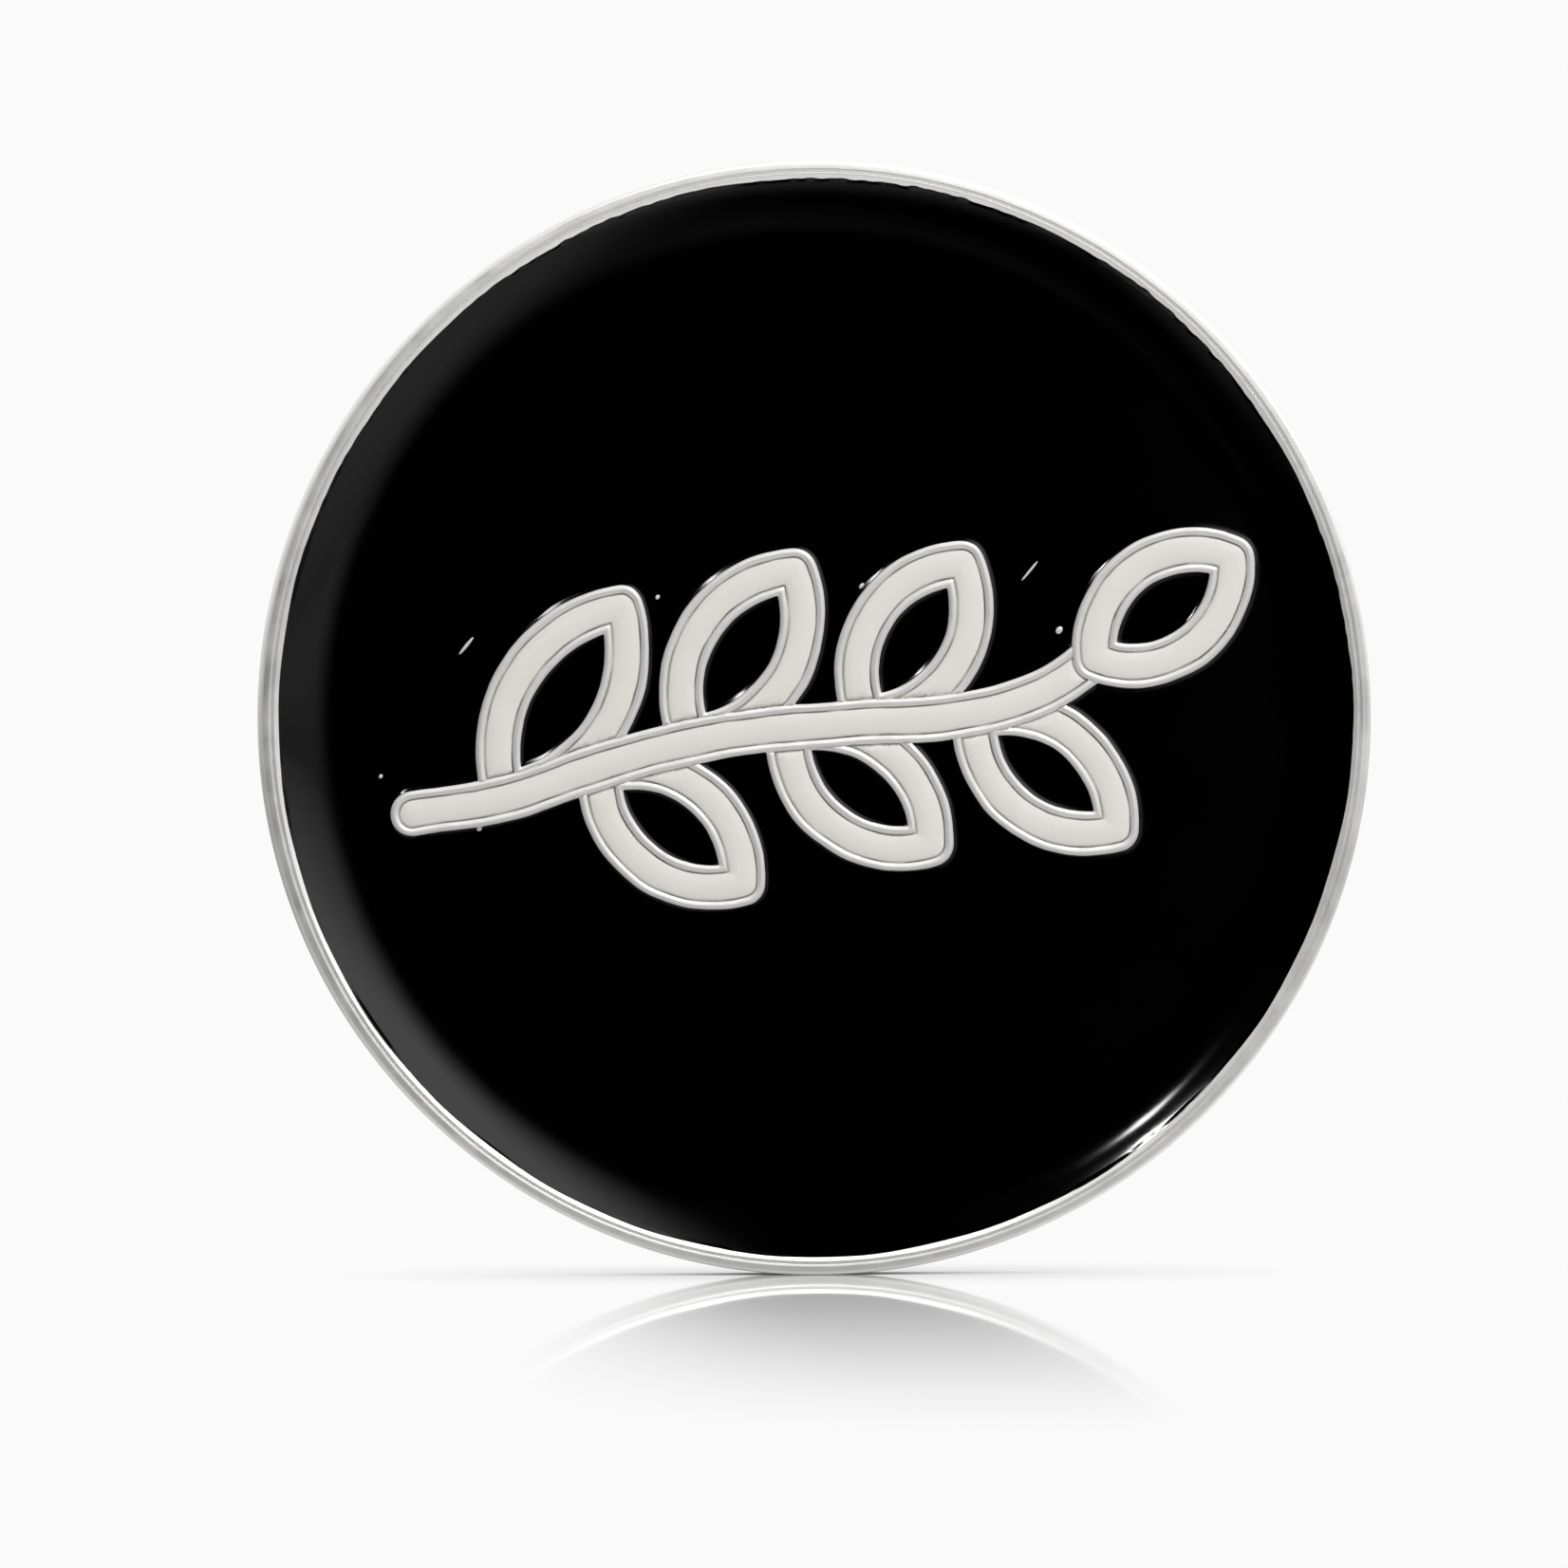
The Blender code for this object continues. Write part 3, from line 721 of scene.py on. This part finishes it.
def cut_slot(piece, x, lift):
    """Cuts the slot that the wings pass through out of the web, with round corners."""
    outline = rounded_box(1.62, 2.40, 0.30)
    count = len(outline)
    low = np.c_[outline, np.full(count, 0.6)]
    high = np.c_[outline, np.full(count, 2.0)]
    faces = [list(range(count))[::-1], list(range(count, 2 * count))]
    for i in range(count):
        j = (i + 1) % count
        faces.append([i, j, j + count, i + count])
    mesh = bpy.data.meshes.new("slot")
    points = post_to_world(np.vstack([low, high]), x, lift)
    mesh.from_pydata((points * MM).tolist(), [], faces)
    cutter = bpy.data.objects.new("slot", mesh)
    bpy.context.scene.collection.objects.link(cutter)
    add_modifier(piece, "BOOLEAN", operation="DIFFERENCE", solver="EXACT", object=cutter)
    bpy.context.view_layer.update()
    bake_modifiers(piece)
    bpy.data.objects.remove(cutter)


WING_SECTION = [(1.35, 1.05), (1.35, 2.1), (1.85, 3.5), (3.0, 4.55), (4.4, 4.35), (5.2, 3.1)]
WING_BEND = 0.30
WING_THICKNESS = 0.30
JAW_START = 0.40
JAW_NOTCH = 0.60
JAW_HALF = 2.2
WING_TIP_HALF = 2.8
WING_CORNER = 1.5


def wing_surface():
    """The middle sheet of a wing, as a grid of points and its quads. It runs from the jaw, which is
    notched for the post, round the bend and over the hump to the round-cornered tip."""
    jaw_end, bend_top = WING_SECTION[0][0] - WING_BEND, WING_SECTION[0][1]
    bend = arc((jaw_end, bend_top), WING_BEND, -math.pi / 2, 0, 0.05)
    jaw = np.c_[np.linspace(JAW_START, jaw_end, 14), np.full(14, bend_top - WING_BEND)]
    hump = smooth_line(WING_SECTION, 14)
    line = np.vstack([jaw[:-1], bend[:-1], hump])
    run = np.r_[0, np.cumsum(np.linalg.norm(np.diff(line, axis=0), axis=1))]
    across = np.linspace(-1, 1, 41)
    stations = np.linspace(0, 1, 90)
    rows = []
    for q in across:
        notch = math.sqrt(max(JAW_NOTCH ** 2 - (q * JAW_HALF) ** 2, 0.0))
        start = max(notch - JAW_START, 0.0)
        past = max(abs(q) * WING_TIP_HALF - (WING_TIP_HALF - WING_CORNER), 0.0)
        end = run[-1] - (WING_CORNER - math.sqrt(max(WING_CORNER ** 2 - past ** 2, 0.0)))
        s = start + (end - start) * stations
        u = np.interp(s, run, line[:, 0])
        w = np.interp(s, run, line[:, 1])
        widen = np.clip((u - 1.7) / 2.2, 0, 1)
        half = JAW_HALF + (WING_TIP_HALF - JAW_HALF) * widen * widen * (3 - 2 * widen)
        rows.append(np.c_[u, q * half, w])
    grid = np.array(rows)
    count = len(stations)
    faces = []
    for i in range(len(across) - 1):
        for j in range(count - 1):
            a = i * count + j
            faces.append((a, a + 1, a + count + 1, a + count))
    return grid.reshape(-1, 3), faces


def make_clutch_side(side, looks):
    """Everything on one post: the post, its solder, the cap, the web and the two wings."""
    low, high = box_mm(f"post_{side}")
    x = (low[0] + high[0]) / 2
    cap_low, _ = box_mm(f"clutch_cap_{side}")
    lift = cap_low[1] + NIPPLE
    clutch = f"clutch_{side}"

    points, faces = capped(post_profile(), 64)
    new_piece(f"nail_post_{side}", post_to_world(points, x, 0.0), faces, [looks["post"]],
              "badge", [f"post_{side}"])
    points, faces = solder_ring()
    new_piece(f"solder_ring_{side}", post_to_world(points, x, 0.0), faces, [looks["solder"]],
              "badge", [f"solder_fillet_{side}"])
    points, faces = revolve(cap_profile(), 144, closed=True)
    new_piece(f"cap_{side}", post_to_world(points, x, lift), faces, [looks["plate"]],
              clutch, [f"clutch_cap_{side}"])
    points, faces = capped(web_profile(), 144)
    web = new_piece(f"web_{side}", post_to_world(points, x, lift), faces, [looks["spring"]],
                    clutch, [f"spring_web_{side}"])
    cut_slot(web, x, lift)

    outward = math.copysign(1.0, x)
    for end, way in (("outer", outward), ("inner", -outward)):
        points, faces = wing_surface()
        points[:, :2] *= way
        wing = new_piece(f"{end}_wing_{side}", post_to_world(points, x, lift), faces,
                         [looks["spring"]], f"wing_{end}_{side}", [f"wing_{end}_{side}"])
        add_modifier(wing, "SOLIDIFY", thickness=WING_THICKNESS * MM, offset=0.0)
        add_modifier(wing, "BEVEL", width=0.05 * MM, segments=3, limit_method="ANGLE",
                     angle_limit=math.radians(50))
        bpy.context.view_layer.update()
        bake_modifiers(wing)


# ---------------------------------------------------------------------------------------------
# Materials
# ---------------------------------------------------------------------------------------------

class Look:
    """A Principled material with a few node helpers. Texture coordinates are metres."""

    def __init__(self, name, colour, metallic, roughness):
        self.material = bpy.data.materials.new(name)
        self.material.use_nodes = True
        self.tree = self.material.node_tree
        self.shader = self.tree.nodes["Principled BSDF"]
        self.shader.inputs["Base Color"].default_value = (*colour, 1)
        self.shader.inputs["Metallic"].default_value = metallic
        self.shader.inputs["Roughness"].default_value = roughness
        self.place = self.tree.nodes.new("ShaderNodeTexCoord").outputs["Object"]

    def link(self, a, b):
        self.tree.links.new(a, b)

    def noise(self, size_mm, detail=3.0, stretch=(1, 1, 1)):
        """Noise whose features are about size_mm wide, stretched along an axis."""
        mapping = self.tree.nodes.new("ShaderNodeMapping")
        mapping.inputs["Scale"].default_value = [1 / (size_mm * MM * s) for s in stretch]
        self.link(self.place, mapping.inputs["Vector"])
        node = self.tree.nodes.new("ShaderNodeTexNoise")
        node.inputs["Scale"].default_value = 1.0
        node.inputs["Detail"].default_value = detail
        self.link(mapping.outputs["Vector"], node.inputs["Vector"])
        return node.outputs["Fac"]

    def spread(self, value, low, high):
        """Noise, which lies mostly between 0.3 and 0.7, spread over a range."""
        node = self.tree.nodes.new("ShaderNodeMapRange")
        node.inputs["From Min"].default_value = 0.3
        node.inputs["From Max"].default_value = 0.7
        node.inputs["To Min"].default_value = low
        node.inputs["To Max"].default_value = high
        self.link(value, node.inputs["Value"])
        return node.outputs["Result"]

    def vary_roughness(self, value, low, high):
        self.link(self.spread(value, low, high), self.shader.inputs["Roughness"])

    def vary_colour(self, value, first, second):
        mix = self.tree.nodes.new("ShaderNodeMix")
        mix.data_type = "RGBA"
        mix.inputs["A"].default_value = (*first, 1)
        mix.inputs["B"].default_value = (*second, 1)
        self.link(self.spread(value, 0.0, 1.0), mix.inputs["Factor"])
        self.link(mix.outputs["Result"], self.shader.inputs["Base Color"])

    def bump(self, value, depth_mm, strength):
        """Adds a bump to those the material already has."""
        node = self.tree.nodes.new("ShaderNodeBump")
        node.inputs["Distance"].default_value = depth_mm * MM
        node.inputs["Strength"].default_value = strength
        self.link(value, node.inputs["Height"])
        last = self.shader.inputs["Normal"].links
        if last:
            self.link(last[0].from_socket, node.inputs["Normal"])
        self.link(node.outputs["Normal"], self.shader.inputs["Normal"])


def polished_lines():
    look = Look("polished_nickel_lines", (0.80, 0.795, 0.78), 1.0, 0.65)
    look.vary_roughness(look.noise(0.5), 0.56, 0.74)
    look.bump(look.noise(0.22, 2.0), 0.006, 0.5)
    return look.material


def polished_rim():
    look = Look("polished_nickel_rim", (0.88, 0.875, 0.86), 1.0, 0.3)
    look.vary_roughness(look.noise(0.8), 0.36, 0.50)
    look.bump(look.noise(0.12, 2.0, (8, 1, 8)), 0.003, 0.5)
    look.bump(look.noise(0.9, 3.0), 0.012, 0.5)
    return look.material


def blasted_back():
    look = Look("sandblasted_nickel", (0.72, 0.715, 0.70), 1.0, 0.45)
    look.vary_roughness(look.noise(1.5), 0.40, 0.55)
    look.bump(look.noise(0.11, 4.0), 0.030, 0.9)
    return look.material


def black_enamel():
    look = Look("black_enamel_gloss", (0.0003, 0.0003, 0.0003), 0.0, 0.05)
    look.vary_roughness(look.noise(2.5), 0.035, 0.06)
    look.bump(look.noise(1.1, 1.0), 0.0008, 0.6)
    return look.material


def cream_enamel():
    look = Look("cream_enamel_gloss", (0.88, 0.87, 0.82), 0.0, 0.28)
    look.vary_colour(look.noise(1.6, 4.0), (0.855, 0.845, 0.806), (0.826, 0.816, 0.758))
    look.bump(look.noise(0.5, 2.0), 0.003, 0.5)
    return look.material


def plated(name, colour, rough, grain_mm, stretch):
    look = Look(name, colour, 1.0, rough)
    look.vary_roughness(look.noise(1.2), rough * 0.8, rough * 1.35)
    look.bump(look.noise(grain_mm, 2.0, stretch), 0.0025, 0.5)
    return look.material


def solder_metal():
    look = Look("solder_grey", (0.56, 0.56, 0.55), 1.0, 0.42)
    look.vary_roughness(look.noise(0.5), 0.30, 0.60)
    look.bump(look.noise(0.35, 3.0), 0.03, 0.7)
    return look.material


def make_looks():
    return {
        "lines": polished_lines(),
        "rim": polished_rim(),
        "blasted": blasted_back(),
        "black": black_enamel(),
        "cream": cream_enamel(),
        "post": plated("plated_post", (0.74, 0.735, 0.72), 0.24, 0.07, (8, 1, 8)),
        "solder": solder_metal(),
        "plate": plated("plated_cap", (0.80, 0.79, 0.77), 0.20, 0.10, (1, 1, 5)),
        "spring": plated("plated_spring", (0.78, 0.77, 0.75), 0.22, 0.08, (6, 6, 1)),
    }


# ---------------------------------------------------------------------------------------------
# Stage
# ---------------------------------------------------------------------------------------------

# The strength of the white that the camera sees, and of the light round the badge.
WHITE = 0.955
AMBIENT = 0.765

# Lamps: name, azimuth, elevation, distance, width, height and strength. The two small ones make the
# streaks in the enamel at the lower right.
LAMPS = [
    ("key_box", 32, 46, 260, 240, 200, 2.35),
    ("upper_spot", -0.4, 5.6, 502, 8, 8, 34),
    ("upper_spot_two", -3.0, 9.0, 508, 14, 12, 90),
]

# The camera's direction in degrees, the width that it takes in, and how far it is moved down and left.
CAMERA_AZIMUTH = -5.0
CAMERA_ELEVATION = 1.4
VIEW_WIDTH = 42.33
CAMERA_LEFT = 0.775
CAMERA_DOWN = 1.81


def ramp(tree, value, start, end, low, high, smooth=True):
    """A node that carries a value from one range to another, held at both ends."""
    node = tree.nodes.new("ShaderNodeMapRange")
    node.interpolation_type = "SMOOTHSTEP" if smooth else "LINEAR"
    for name, number in (("From Min", start), ("From Max", end), ("To Min", low), ("To Max", high)):
        node.inputs[name].default_value = number
    tree.links.new(value, node.inputs["Value"])
    return node.outputs["Result"]


def combined(tree, operation, first, second=0.0):
    """A Math node on two numbers or sockets."""
    node = tree.nodes.new("ShaderNodeMath")
    node.operation = operation
    for value, socket in ((first, node.inputs[0]), (second, node.inputs[1])):
        if isinstance(value, (int, float)):
            socket.default_value = value
        else:
            tree.links.new(value, socket)
    return node.outputs[0]


def sine(degrees):
    return math.sin(math.radians(degrees))


def cosine(degrees):
    return math.cos(math.radians(degrees))


def direction(azimuth, elevation):
    """A unit vector from the badge's middle: azimuth 0 is in front, 90 to the right."""
    return Vector((sine(azimuth) * cosine(elevation), -cosine(azimuth) * cosine(elevation),
                   sine(elevation)))


def make_world():
    """White where the camera looks. For light: dark in front of the badge, bright around it, with a
    soft window up and to the right of the camera."""
    world = bpy.data.worlds.new("studio")
    bpy.context.scene.world = world
    world.use_nodes = True
    tree = world.node_tree
    tree.nodes.clear()
    place = tree.nodes.new("ShaderNodeTexCoord")
    split = tree.nodes.new("ShaderNodeSeparateXYZ")
    tree.links.new(place.outputs["Generated"], split.inputs[0])
    x, y, z = split.outputs
    # Dark within 22 degrees of straight ahead; a little dimmer on the left, brighter on the right and
    # above, and white behind.
    around = ramp(tree, y, -cosine(22), -cosine(50), 0.0, AMBIENT)
    for part in (ramp(tree, x, -0.7, -0.2, 0.80, 1.0), ramp(tree, x, 0.2, 0.7, 1.0, 1.25),
                 ramp(tree, z, 0.2, 0.7, 1.0, 1.25), ramp(tree, y, 0.5, 0.9, 1.0, WHITE / AMBIENT)):
        around = combined(tree, "MULTIPLY", around, part)
    # The window, whose left and lower edges are soft.
    right = ramp(tree, x, sine(6.5), sine(12.3), 0.0, 1.0)
    above = ramp(tree, z, sine(-1.5), sine(5.5), 0.22, 1.0)
    ahead = ramp(tree, y, -0.9, -0.95, 0.0, 1.48)
    window = combined(tree, "MULTIPLY", combined(tree, "MULTIPLY", right, above), ahead)
    # The light, and the plain white that only the camera sees.
    lit = tree.nodes.new("ShaderNodeBackground")
    lit.inputs["Color"].default_value = (1, 1, 1, 1)
    tree.links.new(combined(tree, "ADD", around, window), lit.inputs["Strength"])
    seen = tree.nodes.new("ShaderNodeBackground")
    seen.inputs["Color"].default_value = (WHITE, WHITE, WHITE, 1)
    path = tree.nodes.new("ShaderNodeLightPath")
    mix = tree.nodes.new("ShaderNodeMixShader")
    tree.links.new(path.outputs["Is Camera Ray"], mix.inputs["Fac"])
    tree.links.new(lit.outputs[0], mix.inputs[1])
    tree.links.new(seen.outputs[0], mix.inputs[2])
    output = tree.nodes.new("ShaderNodeOutputWorld")
    tree.links.new(mix.outputs[0], output.inputs[0])


def area_light(name, azimuth, elevation, distance, width, height, strength):
    """A soft box that faces the badge's middle."""
    away = direction(azimuth, elevation)
    light = bpy.data.lights.new(name, "AREA")
    light.shape = "RECTANGLE"
    light.size = width * MM
    light.size_y = height * MM
    light.energy = strength * width * MM * height * MM * math.pi
    lamp = bpy.data.objects.new(name, light)
    lamp.location = away * distance * MM
    lamp.rotation_euler = away.to_track_quat("Z", "Y").to_euler()
    lamp.visible_camera = False
    bpy.context.scene.collection.objects.link(lamp)
    return lamp


def floor_material():
    """Pale and even, with a painted shadow (from ambient occlusion) where the badge comes close, and
    glossy in front of it. To anything but the camera its glow is painted light, which goes dark at a
    glancing angle."""
    material = bpy.data.materials.new("pale_floor")
    material.use_nodes = True
    tree = material.node_tree
    tree.nodes.clear()
    # A painted shadow from ambient occlusion: how dark the floor's glow is close to the badge, and the
    # white that the camera sees.
    shade = tree.nodes.new("ShaderNodeAmbientOcclusion")
    shade.inputs["Distance"].default_value = 5.0 * MM
    shade.samples = 8
    open_share = combined(tree, "POWER", shade.outputs["AO"], 0.48)
    dark = ramp(tree, open_share, 0.0, 0.97, 0.05, 1.0, smooth=False)
    shown = combined(tree, "MULTIPLY", dark, WHITE)
    # Painted light, for everything but the camera: the floor glows bright where met steeply, and black
    # where met at a glance.
    facing = tree.nodes.new("ShaderNodeLayerWeight").outputs["Facing"]
    glance = ramp(tree, facing, 0.50, 0.96, 0.85, 0.0, smooth=False)
    place = tree.nodes.new("ShaderNodeTexCoord")
    split = tree.nodes.new("ShaderNodeSeparateXYZ")
    tree.links.new(place.outputs["Object"], split.inputs[0])
    x, y, _ = split.outputs
    # Of the glancing part of the painted glow, the ground to the right stays, and some of that to the
    # left.
    right = ramp(tree, x, 12 * MM, 35 * MM, 0.0, 1.0)
    steep = ramp(tree, facing, 0.72, 0.80, 1.0, 0.0)
    left = combined(tree, "MULTIPLY", ramp(tree, x, -2 * MM, 6 * MM, 1.0, 0.0),
                    ramp(tree, facing, 0.80, 0.90, 1.0, 0.0))
    sides = combined(tree, "MAXIMUM", right, left)
    lit = combined(tree, "MULTIPLY", glance, combined(tree, "MAXIMUM", sides, steep))
    # The painted glow is dimmer to the left.
    lit = combined(tree, "MULTIPLY", lit, ramp(tree, x, -30 * MM, 12 * MM, 0.70, 1.0))
    # The painted shadow darkens the painted glow that the badge sees too.
    lit = combined(tree, "MULTIPLY", lit, dark)
    path = tree.nodes.new("ShaderNodeLightPath")
    choose = tree.nodes.new("ShaderNodeMix")
    tree.links.new(path.outputs["Is Camera Ray"], choose.inputs["Factor"])
    tree.links.new(lit, choose.inputs["A"])
    tree.links.new(shown, choose.inputs["B"])
    pale = tree.nodes.new("ShaderNodeEmission")
    tree.links.new(choose.outputs["Result"], pale.inputs["Strength"])
    # The gloss, which the camera sees only in front of the badge, growing towards it.
    gloss = tree.nodes.new("ShaderNodeBsdfGlossy")
    gloss.inputs["Roughness"].default_value = 0.035
    # The painted shadow also darkens the floor's reflection.
    tree.links.new(dark, gloss.inputs["Color"])
    near = ramp(tree, y, -62 * MM, 4 * MM, 0.0, 0.64)
    front = ramp(tree, y, 4 * MM, 14 * MM, 1.0, 0.0)
    wide = ramp(tree, combined(tree, "ABSOLUTE", x), 1 * MM, 12.4 * MM, 1.0, 0.0)
    near = combined(tree, "MULTIPLY", near, wide)
    shine = tree.nodes.new("ShaderNodeMix")
    tree.links.new(ramp(tree, facing, 0.93, 0.97, 0.22, 0.45), shine.inputs["A"])
    tree.links.new(path.outputs["Is Camera Ray"], shine.inputs["Factor"])
    tree.links.new(combined(tree, "MULTIPLY", near, front), shine.inputs["B"])
    mix = tree.nodes.new("ShaderNodeMixShader")
    tree.links.new(shine.outputs["Result"], mix.inputs["Fac"])
    tree.links.new(pale.outputs[0], mix.inputs[1])
    tree.links.new(gloss.outputs[0], mix.inputs[2])
    output = tree.nodes.new("ShaderNodeOutputMaterial")
    tree.links.new(mix.outputs[0], output.inputs[0])
    return material


def make_floor(lamps):
    """The floor under the badge's edge, which the lamps leave out."""
    mesh = bpy.data.meshes.new("floor")
    reach = 3.0
    mesh.from_pydata([(-reach, -reach, 0), (reach, -reach, 0), (reach, reach, 0),
                      (-reach, reach, 0)], [], [(0, 1, 2, 3)])
    mesh.materials.append(floor_material())
    floor = bpy.data.objects.new("floor", mesh)
    floor.location = (0, 0, -DISC_RADIUS * MM)
    bpy.context.scene.collection.objects.link(floor)
    unlit = bpy.data.collections.new("not_lit_by_the_lamps")
    unlit.objects.link(floor)
    unlit.collection_objects[0].light_linking.link_state = "EXCLUDE"
    for lamp in lamps:
        lamp.light_linking.receiver_collection = unlit


def make_camera():
    """Nearly square on to the badge, from a little to its left and a little above."""
    away = direction(CAMERA_AZIMUTH, CAMERA_ELEVATION)
    camera = bpy.data.cameras.new("camera")
    camera.lens = 300
    camera.sensor_width = 36
    half = math.atan(camera.sensor_width / 2 / camera.lens)
    distance = VIEW_WIDTH / 2 / math.tan(half) * MM
    rig = bpy.data.objects.new("camera", camera)
    turn = away.to_track_quat("Z", "Y")
    rig.rotation_mode = "QUATERNION"
    rig.rotation_quaternion = turn
    right = turn @ Vector((1, 0, 0))
    up = turn @ Vector((0, 1, 0))
    rig.location = away * distance - right * CAMERA_LEFT * MM - up * CAMERA_DOWN * MM
    camera.clip_start = 0.01
    camera.clip_end = 20
    bpy.context.scene.collection.objects.link(rig)
    bpy.context.scene.camera = rig


bpy.context.scene.view_settings.view_transform = "Standard"
make_camera()
make_world()
make_floor([area_light(*lamp) for lamp in LAMPS])
LOOKS = make_looks()
make_badge_body(LOOKS)
make_front(LOOKS)
make_flecks(LOOKS)
make_clutch_side("left", LOOKS)
make_clutch_side("right", LOOKS)
